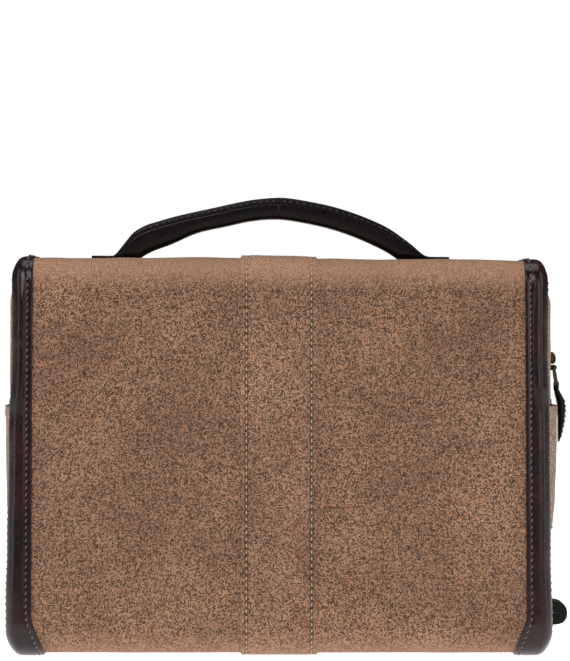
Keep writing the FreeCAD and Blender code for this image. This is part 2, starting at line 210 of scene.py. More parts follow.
def shell(grid, normals, thickness, uv):
    """A closed sheet: the grid, a copy under it and the rim between them. Returns verts, faces, cloth."""
    n, m = grid.shape[:2]
    under = grid - normals * thickness
    verts = np.concatenate([grid.reshape(-1, 3), under.reshape(-1, 3)])
    cloth = np.concatenate([uv.reshape(-1, 2)] * 2)
    faces = []
    off = n * m
    for i in range(n - 1):
        for j in range(m - 1):
            a, b, c, d = i * m + j, i * m + j + 1, (i + 1) * m + j + 1, (i + 1) * m + j
            faces.append((a, b, c, d))
            faces.append((off + d, off + c, off + b, off + a))
    rim = [i * m for i in range(n)] + [(n - 1) * m + j for j in range(1, m)]
    rim += [i * m + m - 1 for i in range(n - 2, -1, -1)] + [j for j in range(m - 2, 0, -1)]
    for k, a in enumerate(rim):
        b = rim[(k + 1) % len(rim)]
        faces.append((a, off + a, off + b, b))
    return verts, faces, cloth


def swept(rings, uv):
    """A closed tube through closed rings of points, capped at both ends. Returns verts, faces, cloth."""
    rings = np.asarray(rings, float)
    n, m = rings.shape[:2]
    faces = []
    for i in range(n - 1):
        for j in range(m):
            k = (j + 1) % m
            faces.append((i * m + j, i * m + k, (i + 1) * m + k, (i + 1) * m + j))
    faces.append(tuple(range(m)))
    faces.append(tuple((n - 1) * m + j for j in reversed(range(m))))
    return rings.reshape(-1, 3), faces, np.asarray(uv, float).reshape(-1, 2)


def merged(parts):
    """Several (verts, faces, cloth) as one."""
    verts, faces, cloth, off = [], [], [], 0
    for v, f, c in parts:
        verts.append(v)
        cloth.append(c)
        faces += [tuple(i + off for i in face) for face in f]
        off += len(v)
    return np.concatenate(verts), faces, np.concatenate(cloth)


def soft_line(points, rounds=2, closed=False):
    """Corner-cutting of a polyline, to make a control outline smooth."""
    p = np.asarray(points, float)
    for _ in range(rounds):
        nxt = np.roll(p, -1, axis=0) if closed else p[1:]
        cur = p if closed else p[:-1]
        q = np.empty((len(cur) * 2, p.shape[1]))
        q[0::2] = cur * 0.75 + nxt * 0.25
        q[1::2] = cur * 0.25 + nxt * 0.75
        p = q if closed else np.concatenate([p[:1], q, p[-1:]])
    return p


def stitch_run(path, normals, pitch, length, radius, sink=0.25, slant=0.0):
    """Stitches along a path of points in mm: each a short thread that dives into the cloth at both ends."""
    path, normals = np.asarray(path, float), np.asarray(normals, float)
    arc = arc_of(path)
    count = int(arc[-1] / pitch)
    if count < 1:
        return []
    pitch = arc[-1] / count

    def at(values, s):
        return np.array([np.interp(s, arc, values[:, k]) for k in range(3)])

    rise = [-sink - radius, 0.35 * radius, 0.75 * radius, 0.35 * radius, -sink - radius]
    wide = [0.45, 0.9, 1.0, 0.9, 0.45]
    parts = []
    for i in range(count):
        mid = (i + 0.5) * pitch
        rings = []
        for k in range(5):
            t = (k - 2) / 4
            p = at(path, mid + t * length)
            n = at(normals, mid + t * length)
            n /= np.linalg.norm(n)
            tangent = at(path, mid + 0.2) - at(path, mid - 0.2)
            tangent /= np.linalg.norm(tangent)
            side = np.cross(tangent, n)
            centre = p + n * rise[k] + side * t * slant
            ring = []
            for j in range(6):
                a = 2 * math.pi * j / 6
                ring.append(centre + (side * math.cos(a) + n * math.sin(a)) * radius * wide[k])
            rings.append(ring)
        uv = np.zeros((5, 6, 2))
        uv[:, :, 0] = mid
        uv[:, :, 1] = np.arange(5)[:, None] * length / 4
        parts.append(swept(rings, uv))
    return parts


def add_parts(name, parts, material):
    v, f, c = merged(parts)
    return turn_out(add_mesh(name, v, f, material, c))


# ---------------------------------------------------------------- materials
def node_kit(name):
    mat = bpy.data.materials.new(name)
    mat.use_nodes = True
    tree = mat.node_tree
    tree.nodes.clear()
    out = tree.nodes.new("ShaderNodeOutputMaterial")
    bsdf = tree.nodes.new("ShaderNodeBsdfPrincipled")
    tree.links.new(bsdf.outputs[0], out.inputs[0])

    def node(kind, inputs=(), **settings):
        n = tree.nodes.new(kind)
        for key, value in settings.items():
            setattr(n, key, value)
        for key, value in dict(inputs).items():
            if isinstance(value, bpy.types.NodeSocket):
                tree.links.new(value, n.inputs[key])
            else:
                n.inputs[key].default_value = value
        return n

    return mat, bsdf, node, tree


def kit_math(node):
    def calc(operation, a, b=0.0, c=None, clamp=False):
        inputs = {0: a, 1: b}
        if c is not None:
            inputs[2] = c
        return node("ShaderNodeMath", inputs, operation=operation, use_clamp=clamp).outputs[0]

    def mix(factor, a, b, blend="MIX"):
        n = node("ShaderNodeMix", {0: factor, 6: a, 7: b}, data_type="RGBA", blend_type=blend)
        return n.outputs[2]

    def fac(source, lo, hi, new_lo=0.0, new_hi=1.0):
        inputs = {0: source, 1: lo, 2: hi, 3: new_lo, 4: new_hi}
        return node("ShaderNodeMapRange", inputs).outputs[0]

    return calc, mix, fac


def clouds(node, where, scale, detail, rough=0.5):
    inputs = {"Vector": where, "Scale": scale, "Detail": detail, "Roughness": rough}
    return node("ShaderNodeTexNoise", inputs).outputs[0]


def dial(bsdf, values):
    """Sets plain values on the shader's own sockets."""
    for key, value in values.items():
        bsdf.inputs[key].default_value = value


def dress(tree, node, bsdf, colour, bump, distance, relief):
    """Leads a colour and a fine relief into the shader."""
    tree.links.new(colour, bsdf.inputs["Base Color"])
    b = node("ShaderNodeBump", {"Strength": bump, "Distance": distance, "Height": relief})
    tree.links.new(b.outputs[0], bsdf.inputs["Normal"])


def rgb(r, g, b):
    """sRGB 0..255 to a linear colour."""
    out = []
    for v in (r, g, b):
        v /= 255
        out.append(v / 12.92 if v <= 0.04045 else ((v + 0.055) / 1.055) ** 2.4)
    return (*out, 1.0)


def woven(name, light, dark, warm, yarn=(0.6, 0.6), contrast=1.0, rough=0.85, mottle=1.0, scuff=0.0,
          top_highlight_and_pale_foot=0.0, seam=0.0):
    """Plain-woven cloth read from the piece's own cloth coordinates: yarns, slubs, mottling and scuffs, a
    painted highlight over the top roll, a paler foot and painted shade along stitch furrows.
    """
    mat, bsdf, node, tree = node_kit(name)
    calc, mix, fac = kit_math(node)
    where = node("ShaderNodeAttribute", attribute_name="cloth").outputs["Vector"]
    wobble = node("ShaderNodeTexNoise", {"Vector": where, "Scale": 90.0, "Detail": 1.0}).outputs["Color"]
    wobble = node("ShaderNodeVectorMath", {0: wobble, 1: (0.5, 0.5, 0.5)}, operation="SUBTRACT").outputs[0]
    scaled = node("ShaderNodeVectorMath", {0: wobble, "Scale": 0.0012}, operation="SCALE").outputs[0]
    spot = node("ShaderNodeVectorMath", {0: where, 1: scaled}, operation="ADD").outputs[0]
    count = (1000.0 / yarn[0], 1000.0 / yarn[1], 1.0)
    cell = node("ShaderNodeVectorMath", {0: spot, 1: count}, operation="MULTIPLY").outputs[0]
    parts = node("ShaderNodeSeparateXYZ", {0: cell})
    sa = calc("SINE", calc("MULTIPLY", parts.outputs[0], math.pi))
    sb = calc("SINE", calc("MULTIPLY", parts.outputs[1], math.pi))
    over = calc("MULTIPLY_ADD", calc("MULTIPLY", sa, sb), 2.5, 0.5, clamp=True)
    warp, weft = calc("ABSOLUTE", sa), calc("ABSOLUTE", sb)
    height = calc("ADD", calc("MULTIPLY", over, warp), calc("MULTIPLY", calc("SUBTRACT", 1.0, over), weft))

    def slub(stretch):
        v = node("ShaderNodeMapping", {"Vector": where, "Scale": stretch}).outputs[0]
        return clouds(node, v, 1.0, 2.0)

    k, m = count[:2]
    slubs = calc("ADD", calc("MULTIPLY", over, slub((k * 0.9, m * 0.09, 1))),
                 calc("MULTIPLY", calc("SUBTRACT", 1.0, over), slub((k * 0.09, m * 0.9, 1))))
    speck = node("ShaderNodeTexWhiteNoise", {"Vector": node(
        "ShaderNodeVectorMath", {0: cell}, operation="FLOOR").outputs[0]}, noise_dimensions="3D").outputs[0]
    tone = calc("ADD", calc("MULTIPLY", fac(slubs, 0.25, 0.75), 0.15), calc("MULTIPLY", speck, 0.45))
    tone = calc("ADD", tone, calc("MULTIPLY", height, 0.40))
    tone = fac(tone, 0.6 - 0.5 / contrast, 0.6 + 0.5 / contrast)
    large = clouds(node, where, 22.0, 4.0, 0.6)
    wide = clouds(node, where, 7.0, 3.0)
    colour = mix(tone, dark, light)
    colour = mix(calc("MULTIPLY", fac(large, 0.35, 0.68), 0.42 * mottle), colour, warm)
    shade = fac(wide, 0.35, 0.65, 1.0 - 0.07 * mottle, 1.0 + 0.07 * mottle)
    grey = node("ShaderNodeCombineColor", {0: shade, 1: shade, 2: shade}).outputs[0]
    colour = mix(1.0, colour, grey, "MULTIPLY")
    if scuff:
        slanted = {"Vector": where, "Rotation": (0, 0, 0.7), "Scale": (14, 95, 1)}
        streak = clouds(node, node("ShaderNodeMapping", slanted).outputs[0], 1.0, 5.0, 0.7)
        patch = clouds(node, where, 30.0, 1.0)
        marks = calc("MULTIPLY", fac(streak, 0.64, 0.74), fac(patch, 0.55, 0.68))
        colour = mix(calc("MULTIPLY", marks, scuff), colour, light)
    # painted shade: the cloth is darkened along the band's stitch furrows, where shade falls in the groove
    if seam:
        across = node("ShaderNodeSeparateXYZ", {0: where}).outputs[0]
        off = calc("ABSOLUTE", calc("SUBTRACT", calc("ABSOLUTE", across), seam))
        colour = mix(fac(off, 0.0012, 0.0005, 0.0, 0.55), colour, dark)
    # painted highlight: the cloth over the top roll is coloured paler, as if lit from above; the foot, from
    # FOOT_Z down, is coloured paler as well
    if top_highlight_and_pale_foot:
        run = calc("MODULO", node("ShaderNodeSeparateXYZ", {0: where}).outputs[1], 0.4)
        roll = calc("MULTIPLY", fac(run, 0.046, 0.036), fac(run, 0.014, 0.030, 0.35, 1.0))
        roll_highlight_and_foot = calc("MAXIMUM", roll, fac(run, WALL_FOOT, WALL_FOOT + 0.012, 0.0, 0.4))
        colour = mix(calc("MULTIPLY", roll_highlight_and_foot, top_highlight_and_pale_foot), colour, light)
    dial(bsdf, {"Sheen Weight": 0.1, "Sheen Roughness": 0.5, "Specular IOR Level": 0.25})
    tree.links.new(fac(height, 0, 1, rough + 0.08, rough - 0.08), bsdf.inputs["Roughness"])
    relief = calc("ADD", height, calc("MULTIPLY", slubs, 0.6))
    dress(tree, node, bsdf, colour, 0.35, 0.00025, relief)
    return mat


def leather(name, deep, lit, red, rough, coat=0.0, grain=1500.0, bump=0.25, worn=0.25, gloss=0.35):
    """Polished leather: pebbled grain, uneven dye and pull-up marks."""
    mat, bsdf, node, tree = node_kit(name)
    calc, mix, fac = kit_math(node)
    where = node("ShaderNodeTexCoord").outputs["Object"]
    cells = {"Vector": where, "Scale": grain}
    pores = node("ShaderNodeTexVoronoi", cells, feature="DISTANCE_TO_EDGE").outputs[0]
    fine = clouds(node, where, grain * 0.7, 3.0)
    dye = clouds(node, where, 55.0, 4.0, 0.6)
    pull = clouds(node, where, 190.0, 5.0, 0.7)
    colour = mix(fac(dye, 0.38, 0.66), deep, red)
    colour = mix(calc("MULTIPLY", fac(pull, 0.52, 0.75), worn), colour, lit)
    colour = mix(fac(pores, 0.0, 0.12, 0.35, 0.0), colour, (0.004, 0.002, 0.002, 1))
    dullness = fac(calc("ADD", pull, fine), 0.7, 1.3, rough - 0.08, rough + 0.12)
    tree.links.new(dullness, bsdf.inputs["Roughness"])
    dial(bsdf, {"Specular IOR Level": gloss, "Coat Weight": coat, "Coat Roughness": 0.12})
    relief = calc("ADD", fac(pores, 0.0, 0.3), calc("MULTIPLY", fine, 0.6))
    relief = calc("ADD", relief, calc("MULTIPLY", pull, 1.4))
    dress(tree, node, bsdf, colour, bump, 0.0003, relief)
    return mat


def thread(name, light, dark):
    """Twisted sewing thread: its strands are fine slanted stripes."""
    mat, bsdf, node, tree = node_kit(name)
    calc, mix, fac = kit_math(node)
    where = node("ShaderNodeTexCoord").outputs["Object"]
    v = node("ShaderNodeMapping", {"Vector": where, "Rotation": (0.6, 0.5, 0.7)}).outputs[0]
    wave = node("ShaderNodeTexWave", {"Vector": v, "Scale": 900.0, "Distortion": 1.5}).outputs["Fac"]
    tint = clouds(node, where, 260.0, 2.0)
    colour = mix(calc("MULTIPLY_ADD", wave, 0.5, calc("MULTIPLY", tint, 0.5)), dark, light)
    dial(bsdf, {"Roughness": 0.55, "Sheen Weight": 0.2})
    dress(tree, node, bsdf, colour, 0.4, 0.0001, wave)
    return mat


def old_metal(name, bright, dull, rough=0.34):
    """Antique-finished metal: darker in patches, rubbed bright in others."""
    mat, bsdf, node, tree = node_kit(name)
    calc, mix, fac = kit_math(node)
    where = node("ShaderNodeTexCoord").outputs["Object"]
    patina = clouds(node, where, 420.0, 5.0, 0.65)
    lines = clouds(node, where, 2600.0, 2.0)
    colour = mix(fac(patina, 0.38, 0.66), dull, bright)
    dial(bsdf, {"Metallic": 1.0})
    worn = calc("ADD", patina, calc("MULTIPLY", lines, 0.4))
    tree.links.new(fac(worn, 0.4, 1.0, rough + 0.2, rough - 0.08), bsdf.inputs["Roughness"])
    dress(tree, node, bsdf, colour, 0.15, 0.0001, calc("ADD", patina, lines))
    return mat


CANVAS = woven("waxed_canvas", rgb(194, 148, 116), rgb(12, 6, 4), rgb(72, 43, 31), yarn=(0.62, 0.62),
               contrast=2.0, scuff=0.6, top_highlight_and_pale_foot=0.4)
# the band's seam setting paints shade along its stitch furrows
BAND = woven("canvas_band", rgb(200, 154, 122), rgb(14, 7, 5), rgb(76, 46, 34), yarn=(0.62, 0.62),
             contrast=2.0, scuff=0.25, top_highlight_and_pale_foot=0.4, seam=0.0166)
GUSSET = woven("canvas_gusset", rgb(206, 172, 142), rgb(40, 26, 18), rgb(112, 82, 62), yarn=(0.95, 0.68),
               contrast=1.9, scuff=0.2)
LINING = woven("lining_cotton", rgb(128, 106, 82), rgb(84, 68, 52), rgb(104, 84, 66), yarn=(0.4, 0.4),
               rough=0.9)
TAPE = woven("zip_tape", rgb(52, 42, 34), rgb(16, 12, 10), rgb(30, 23, 19), yarn=(0.5, 0.5), mottle=0.4)
BINDING = leather("oxblood_leather", rgb(20, 7, 7), rgb(84, 54, 52), rgb(42, 12, 11), rough=0.24,
                  coat=0.12, bump=0.1, worn=0.12, gloss=0.28)
BLACK = leather("handle_leather", rgb(9, 5, 4), rgb(36, 24, 21), rgb(16, 8, 6), rough=0.27, worn=0.05,
                bump=0.06, gloss=0.16)
BOARD = leather("board_cover", rgb(84, 68, 52), rgb(120, 100, 78), rgb(96, 78, 60), rough=0.8,
                grain=2200.0, worn=0.4)
TAN_THREAD = thread("tan_thread", rgb(222, 192, 152), rgb(150, 116, 82))
# painted glints: the plum thread's pale stripes stand in for glints on a dark thread as well as for its
# strands
DARK_THREAD = thread("plum_thread_painted_glints", rgb(150, 128, 130), rgb(44, 24, 26))
BLACK_THREAD = thread("black_thread", rgb(40, 31, 28), rgb(12, 8, 7))
METAL = old_metal("antique_brass", rgb(104, 92, 74), rgb(30, 26, 22))
TEETH = old_metal("brass_teeth", rgb(186, 156, 104), rgb(84, 66, 42), rough=0.3)


def fix(obj, body, slot, *nodes):
    """A piece rides on one body and stands for its CAD nodes; slot is not used."""
    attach(obj, body)
    if nodes:
        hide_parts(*nodes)


def bend_wall(obj, nodes=()):
    """A piece of one wall has its placement baked into its mesh and stands for its CAD nodes."""
    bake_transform(obj)
    if nodes:
        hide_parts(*nodes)


def wall_nodes(jaw_node, body_node, side):
    """A wall piece stands for its jaw's node, and the back one for the body's node as well."""
    return [jaw_node] + ([body_node] if side < 0 else [])


# ---------------------------------------------------------------- canvas walls
def canvas_swell(x, s, z, side):
    """How the canvas stands off its CAD surface: a soft crown between the seams and a few slack waves."""
    edge = smooth((END_X - BINDING_FACE + 1.5 - abs(x)) / 16.0)
    band = smooth((abs(x) - BAND_HALF + 1.0) / 14.0)
    wall = smooth((s - 10) / 30.0) * smooth((LENGTH - 60 - s) / 30.0)
    wave = 0.55 * ripple(x, s, 46.0, 1 + side) + 0.22 * ripple(x, s, 17.0, 4 + side)
    top = 0.35 * ripple(x, 0.0, 14.0, 9 + side) * smooth((60 - s) / 40.0)
    foot = smooth((30 - z) / 28.0)
    return edge * (0.5 * band * wall + wave * 0.8) * (1 - 0.7 * foot) + top * edge - 0.12 * (1 - edge)


def wall_grid(xs, ss, side, offset):
    """Points and normals over x and arc length, offset(x, s, z) mm outside the canvas."""
    grid = np.zeros((len(ss), len(xs), 3))
    normals = np.zeros_like(grid)
    for i, s in enumerate(ss):
        y, z, n = along(s)
        for j, x in enumerate(xs):
            d = offset(x, s, z)
            grid[i, j] = (x, -side * (y + n[0] * d), z + n[1] * d)
            normals[i, j] = (0, -side * n[0], n[1])
    return grid, normals


def cloth_map(xs, ss):
    u, v = np.meshgrid(np.asarray(xs), np.asarray(ss))
    return np.stack([u, v], axis=-1)


def arc_steps(step):
    """Arc lengths down one wall, closer together round the corners."""
    p, n, arc = BACK
    keep = [0.0]
    for k in range(1, len(arc)):
        turning = np.linalg.norm(n[k] - n[k - 1]) > 1e-4
        if arc[k] - keep[-1] >= (1.3 if turning else step) or k == len(arc) - 1:
            keep.append(arc[k])
    return np.array(keep)


def make_canvas():
    inner = END_X - BINDING_FACE + 3.5
    xs = np.linspace(-inner, inner, 104)
    ss = arc_steps(2.6)
    for name, side in SIDES.items():
        grid, normals = wall_grid(xs, ss, side, lambda x, s, z: canvas_swell(x, s, z, side))
        cloth = cloth_map(xs, ss + (0 if side < 0 else 400))
        obj = add_parts(f"canvas_{name}", [shell(grid, normals, 0.95, cloth)], CANVAS)
        nodes = [f"canvas_{name}_top", f"foam_{name}_top", f"piping_left_{name}", f"piping_right_{name}"]
        if side < 0:
            nodes += ["canvas_body", "foam_body", "piping_left_body", "piping_right_body"]
        bend_wall(obj, nodes)


# ---------------------------------------------------------------- centre band
BAND_STITCH = 16.6


def band_lift(x, s, z, side):
    """Folded canvas webbing: soft edges, a furrow along each row of stitches."""
    a = abs(x)
    edge = smooth((BAND_HALF - a) / 0.9)
    furrow = bell(a - BAND_STITCH, 0.75)
    pad = 0.16 * smooth((BAND_STITCH - a) / 4.0)
    wave = 0.10 * ripple(x, s, 12.0, 20 + side) + 0.25 * ripple(0, s, 30.0, 22 + side)
    floor_gap = smooth((z - 2) / 20.0)
    return 0.15 + 0.95 * edge - 0.32 * furrow * edge + (pad + wave) * edge * floor_gap


def make_band():
    xs = [-BAND_HALF + d for d in (0, 0.15, 0.4, 0.8, 1.4)]
    xs += [-BAND_STITCH + d for d in (-1, -0.5, 0, 0.5, 1.1, 2.4)]
    middle = list(np.linspace(-BAND_STITCH + 4.5, BAND_STITCH - 4.5, 12))
    xs = np.array(xs + middle + [-x for x in reversed(xs)])
    ss = arc_steps(2.2)
    for name, side in SIDES.items():
        def offset(x, s, z):
            under = canvas_swell(BAND_HALF, s, z, side) * 0.6
            return band_lift(x, s, z, side) + under * smooth((z - 3) / 20.0)

        grid, normals = wall_grid(xs, ss, side, offset)
        cloth = cloth_map(xs, ss + (800 if side < 0 else 1200))
        obj = add_parts(f"centre_band_{name}", [shell(grid, normals, 0.9, cloth)], BAND)
        bend_wall(obj, wall_nodes(f"center_band_{name}_top", "center_band_body", side))
        runs = []
        for x in (-BAND_STITCH, BAND_STITCH):
            line, nor = wall_grid([x], ss, side, offset)
            runs += stitch_run(line[:, 0], nor[:, 0], 3.3, 2.5, 0.32, sink=0.3)
        bend_wall(add_parts(f"band_stitches_{name}", runs, TAN_THREAD))


# ---------------------------------------------------------------- leather binding
def binding_ring(s, z, side, end):
    """The binding's cross-section at one place, as (x, d): over the face, round the edge, down the end."""
    top = smooth((z - 124) / 12.0)
    near_top = smooth(s / 20.0)
    puff = 0.2 + 1.5 * top * smooth((197 - z) / 16.0)
    puff += 0.45 * ripple(s, 0, 26.0, 30 + side + end)
    puff += (0.15 + 0.35 * top) * ripple(s, 5, 11.0, 33 + side + end)
    crease = bell(z - 126.5 - 4 * end, 3.2) + 0.7 * bell(z - 152 + 3 * end, 2.4)
    puff -= 0.8 * crease
    corner = smooth((22 - z) / 20.0)
    flat = smooth((14 - z) / 12.0)
    puff *= 1 - flat
    reach = BINDING_FACE + 5.6 * corner + 1.2 * (1 - near_top) + 0.35 * ripple(s, 9, 16.0, 36 + end + side)
    inner = END_X - reach
    wide = END_X + 0.8 * smooth((90 - z) / 80.0) - (1.7 if end < 0 else 0.7) * smooth((z - 105) / 50.0)
    wide -= 0.8 * smooth((z - 195) / 9.0) ** 2 + 1.2 * smooth((10 - z) / 10.0)
    wide += 0.45 * ripple(s, 2, 24.0, 38 + side + end) * (1 - flat)
    points = [
        (inner + 0.3, 0.06), (inner, 0.4), (inner, 0.85), (inner + 0.35, 1.25), (inner + 1.2, 1.32),
        (inner + 2.1, 1.14), (inner + 2.7, 0.98), (inner + 3.4, 1.12), (inner + 4.4, 1.38 + 0.3 * puff),
        (wide - 7.2, 1.4 + 0.9 * puff), (wide - 4.6, 1.1 + 1.05 * puff), (wide - 2.2, -0.7 + 0.75 * puff),
        (wide - 0.3, -3.2 + 0.25 * puff), (wide, -5.4), (wide, -7.4), (wide - 0.35, -8.5), (wide - 0.9, -8.7),
        (wide - 1.3, -8.2), (wide - 1.4, -6.6), (wide - 1.9, -4.4), (wide - 3.2, -2.6), (wide - 5.2, -0.9),
        (wide - 7.6, 0.02), (inner + 3.5, 0.02),
    ]
    ring = soft_line(points, 2, closed=True)
    ring[:, 1] *= np.where(ring[:, 1] > 0, 1 - 0.45 * smooth((z - 194) / 9.0), 1.0)
    return ring, inner


def make_binding():
    ss = arc_steps(2.2)
    for name, side in SIDES.items():
        flip = -side
        for end_name, end in ENDS.items():
            rings, uv, line, nor, line2, nor2 = [], [], [], [], [], []
            for s in ss:
                y, z, n = along(s)
                ring, inner = binding_ring(s, z, side, end)
                rings.append([(end * x, flip * (y + n[0] * d), z + n[1] * d) for x, d in ring])
                uv.append([(x * 2, s) for x, d in ring])
                d = 1.05
                line.append((end * (inner + 2.7), flip * (y + n[0] * d), z + n[1] * d))
                nor.append((0, flip * n[0], n[1]))
                wide = ring[:, 0].max()
                line2.append((end * (wide - 0.02), flip * (y - n[0] * 6.6), z - n[1] * 6.6))
                nor2.append((end, 0, 0))
            obj = add_parts(f"binding_{end_name}_{name}_leather", [swept(rings, np.array(uv))], BINDING)
            nodes = wall_nodes(f"binding_{end_name}_{name}", f"binding_{end_name}_body", side)
            bend_wall(obj, nodes)
            runs = stitch_run(line, nor, 3.3, 2.1, 0.30, sink=0.15, slant=0.9)
            runs += stitch_run(line2, nor2, 3.6, 2.4, 0.26, sink=0.1)
            stitches = add_parts(f"binding_stitches_{end_name}_{name}", runs, DARK_THREAD)
            bend_wall(stitches)


# ---------------------------------------------------------------- end panels, pockets
def gusset_fall(z):
    return smooth((HEIGHT - 10 - z) / 13.0)


def gusset_rise(y, z, end):
    edge = half_depth(z) - BINDING_SIDE
    across = smooth((edge - abs(y)) / (edge - 14.0))
    return BULGES[end] * across * gusset_fall(z) * smooth((z - 26.0) / 49.0)


def reach_at(z, d):
    """Half the profile's depth at height z, d mm outside the canvas, corners included."""
    p, n, arc = BACK
    q = p + n * d
    wall = (q[:, 1] < HEIGHT + d - 0.001) & (q[:, 1] > BASE_Z - d + 0.001)
    order = np.argsort(q[wall, 1])
    return float(np.interp(z, q[wall, 1][order], -q[wall, 0][order]))


def make_end_panels():
    zs = np.concatenate([np.linspace(8.3, 26, 7), np.linspace(30, 118, 30), np.linspace(121, 197.2, 38)])
    for end_name, end in ENDS.items():
        for name, side in SIDES.items():
            rows, uvs = [], []
            for z in zs:
                y0 = 4.4 * smooth((z - 117.0) / 9.0) + (MOUTH - 4.4) * smooth((z - 127.0) / 4.0) + 0.02
                y1 = reach_at(z, -6.9)
                row, uv = [], []
                for t in np.linspace(0, 1, 22):
                    y = y0 + (y1 - y0) * t
                    slack = 0.27 * ripple(y, z, 15.0, 50 + end + 2 * side)
                    slack *= smooth((y1 - y) / 12.0) * smooth((190 - z) / 20)
                    slack *= 1 if z < 124 or abs(y) > 15 else 0.2
                    x = END_X - OUTER_D - 0.02 + gusset_rise(y, z, end) + slack
                    row.append((end * x, side * y, z))
                    uv.append((side * y + 300 * end, z))
                rows.append(row)
                uvs.append(uv)
            grid = np.array(rows)
            normals = facing(grid, 0, end)
            obj = add_parts(f"gusset_{end_name}_{name}", [shell(grid, normals, 0.85, np.array(uvs))], GUSSET)
            nodes = wall_nodes(f"end_panel_{end_name}_{name}", f"end_panel_{end_name}_body", side)
            bend_wall(obj, nodes)
            edge = []
            for z in np.linspace(132, 193, 60):
                y = MOUTH + 1.6
                edge.append((end * (END_X - OUTER_D + gusset_rise(y, z, end)), side * y, z))
            runs = stitch_run(edge, [(end, 0, 0)] * len(edge), 3.0, 2.1, 0.26, sink=0.15)
            stitches = add_parts(f"gusset_stitches_{end_name}_{name}", runs, TAN_THREAD)
            bend_wall(stitches, ())


POCKET_HALF = 33.0
POCKET_LOW = 62.0
POCKET_TOP = HINGE_Z - 3.5


def pocket_face(y, z, end):
    across = math.cos(math.pi * min(abs(y), POCKET_HALF) / (2 * POCKET_HALF)) ** 2
    t = (z - POCKET_LOW) / (POCKET_TOP - POCKET_LOW)
    rise = (2.0 if end < 0 else 3.0) * across * math.sin(math.pi * max(t, 0.0) * 0.62)
    return END_X - OUTER_D + 0.25 + gusset_rise(y, z, end) + rise


def make_pockets():
    for end_name, end in ENDS.items():
        parts = []
        ys = np.linspace(-POCKET_HALF, POCKET_HALF, 45)
        hem_zs = np.linspace(POCKET_TOP - 6.4, POCKET_TOP, 10)
        zs = np.concatenate([np.linspace(POCKET_LOW, POCKET_TOP - 7, 32), hem_zs])
        grid = np.zeros((len(zs), len(ys), 3))
        for i, z in enumerate(zs):
            for j, y in enumerate(ys):
                inset = POCKET_HALF - abs(y)
                rim = min(inset / 1.2, (z - POCKET_LOW) / 1.2)
                fold = 0.45 * smooth((z - POCKET_TOP + 6.3) / 0.9) - 0.3 * bell(z - POCKET_TOP + 5.2, 0.5)
                slack = 0.35 * ripple(y, z, 13.0, 60 + end)
                slack *= smooth(inset / 12) * smooth((z - POCKET_LOW) / 15)
                x = pocket_face(y, z, end) + 0.9 * smooth(rim * 0.6 + 0.4)
                x += fold * smooth(inset / 2.0) + slack
                grid[i, j] = (end * x, y, z)
        normals = facing(grid, 0, end)
        uv = np.stack(np.meshgrid(ys + 150 * end, zs), axis=-1)
        obj = add_parts(f"pocket_{end_name}", [shell(grid, normals, 0.9, uv)], GUSSET)
        fix(obj, "body", "waxed_canvas", f"end_pocket_{end_name}")

        def on_face(y, z):
            j = int(np.argmin(abs(ys - y)))
            return (grid[int(np.argmin(abs(zs - z))), j, 0], y, z)

        hem = [on_face(y, POCKET_TOP - 5.2) for y in np.linspace(-POCKET_HALF + 1, POCKET_HALF - 1, 60)]
        runs = stitch_run(hem, [(end, 0, 0)] * len(hem), 3.1, 2.1, 0.26, sink=0.12)
        outline = [on_face(-POCKET_HALF + 2.2, z) for z in np.linspace(POCKET_TOP - 1, POCKET_LOW + 2.2, 40)]
        outline += [on_face(y, POCKET_LOW + 2.2) for y in np.linspace(-POCKET_HALF + 4, POCKET_HALF - 4, 40)]
        outline += [on_face(POCKET_HALF - 2.2, z) for z in np.linspace(POCKET_LOW + 2.2, POCKET_TOP - 1, 40)]
        runs += stitch_run(outline, [(end, 0, 0)] * len(outline), 3.1, 2.1, 0.26, sink=0.12)
        fix(add_parts(f"pocket_stitches_{end_name}", runs, TAN_THREAD), "body", "waxed_canvas")


# ---------------------------------------------------------------- zipper
TAPE_INSET = OUTER_D + 0.9 + 0.2
TAPE_DROP = 1.0 + 0.05
ZIP_LOW = HINGE_Z + 1.5


def zip_path(inset, drop, low, step):
    """The zipper's way in XZ from the left end's foot over the top to the right end's: points and normals."""
    x, top = END_X - inset, HEIGHT - drop
    r = 9.0 - inset
    halves = []
    for end in (-1, 1):
        half = [(end * (x + BULGES[end] * gusset_fall(z)), z) for z in np.arange(low, top - r - 0.2, step)]
        for k in range(13):
            a = math.pi / 2 * k / 12
            half.append((end * (x - r + r * math.cos(a)), top - r + r * math.sin(a)))
        half += [(end * u, top) for u in np.linspace(x - r, 0, int((x - r) / step) + 1)[1:]]
        halves.append(np.array(half))
    path = np.concatenate([halves[0][:-1], halves[1][::-1]])
    tangent = np.gradient(path, axis=0)
    tangent /= np.linalg.norm(tangent, axis=1)[:, None]
    normals = np.stack([-tangent[:, 1], tangent[:, 0]], axis=1)
    return path, normals


def make_zipper():
    path, normals = zip_path(TAPE_INSET, TAPE_DROP, ZIP_LOW, 2.4)
    for name, side in SIDES.items():
        ys = np.array([0.65, 1.1, 1.7, 2.2, 2.6, 3.2, 4.5, 6.0, 7.5, 9.5, 11.8])
        lift = np.array([-0.3, -0.25, 0.0, 0.24, 0.22, 0.02, 0, 0, 0, 0, 0])
        grid = np.zeros((len(path), len(ys), 3))
        nor = np.zeros_like(grid)
        arc = arc_of(path)
        for i, (p, n) in enumerate(zip(path, normals)):
            for j, y in enumerate(ys):
                q = p + n * (lift[j] + 0.06 * ripple(arc[i], y, 9.0, 70 + side))
                grid[i, j] = (q[0], side * y, q[1])
                nor[i, j] = (n[0], 0, n[1])
        u, w = np.meshgrid(ys * side + 700, arc)
        obj = add_parts(f"tape_{name}", [shell(grid, nor, 0.75, np.stack([u, w], axis=-1))], TAPE)
        fix(obj, f"{name}_jaw", "zip_tape", f"zip_tape_{name}")
        make_teeth(name, side)


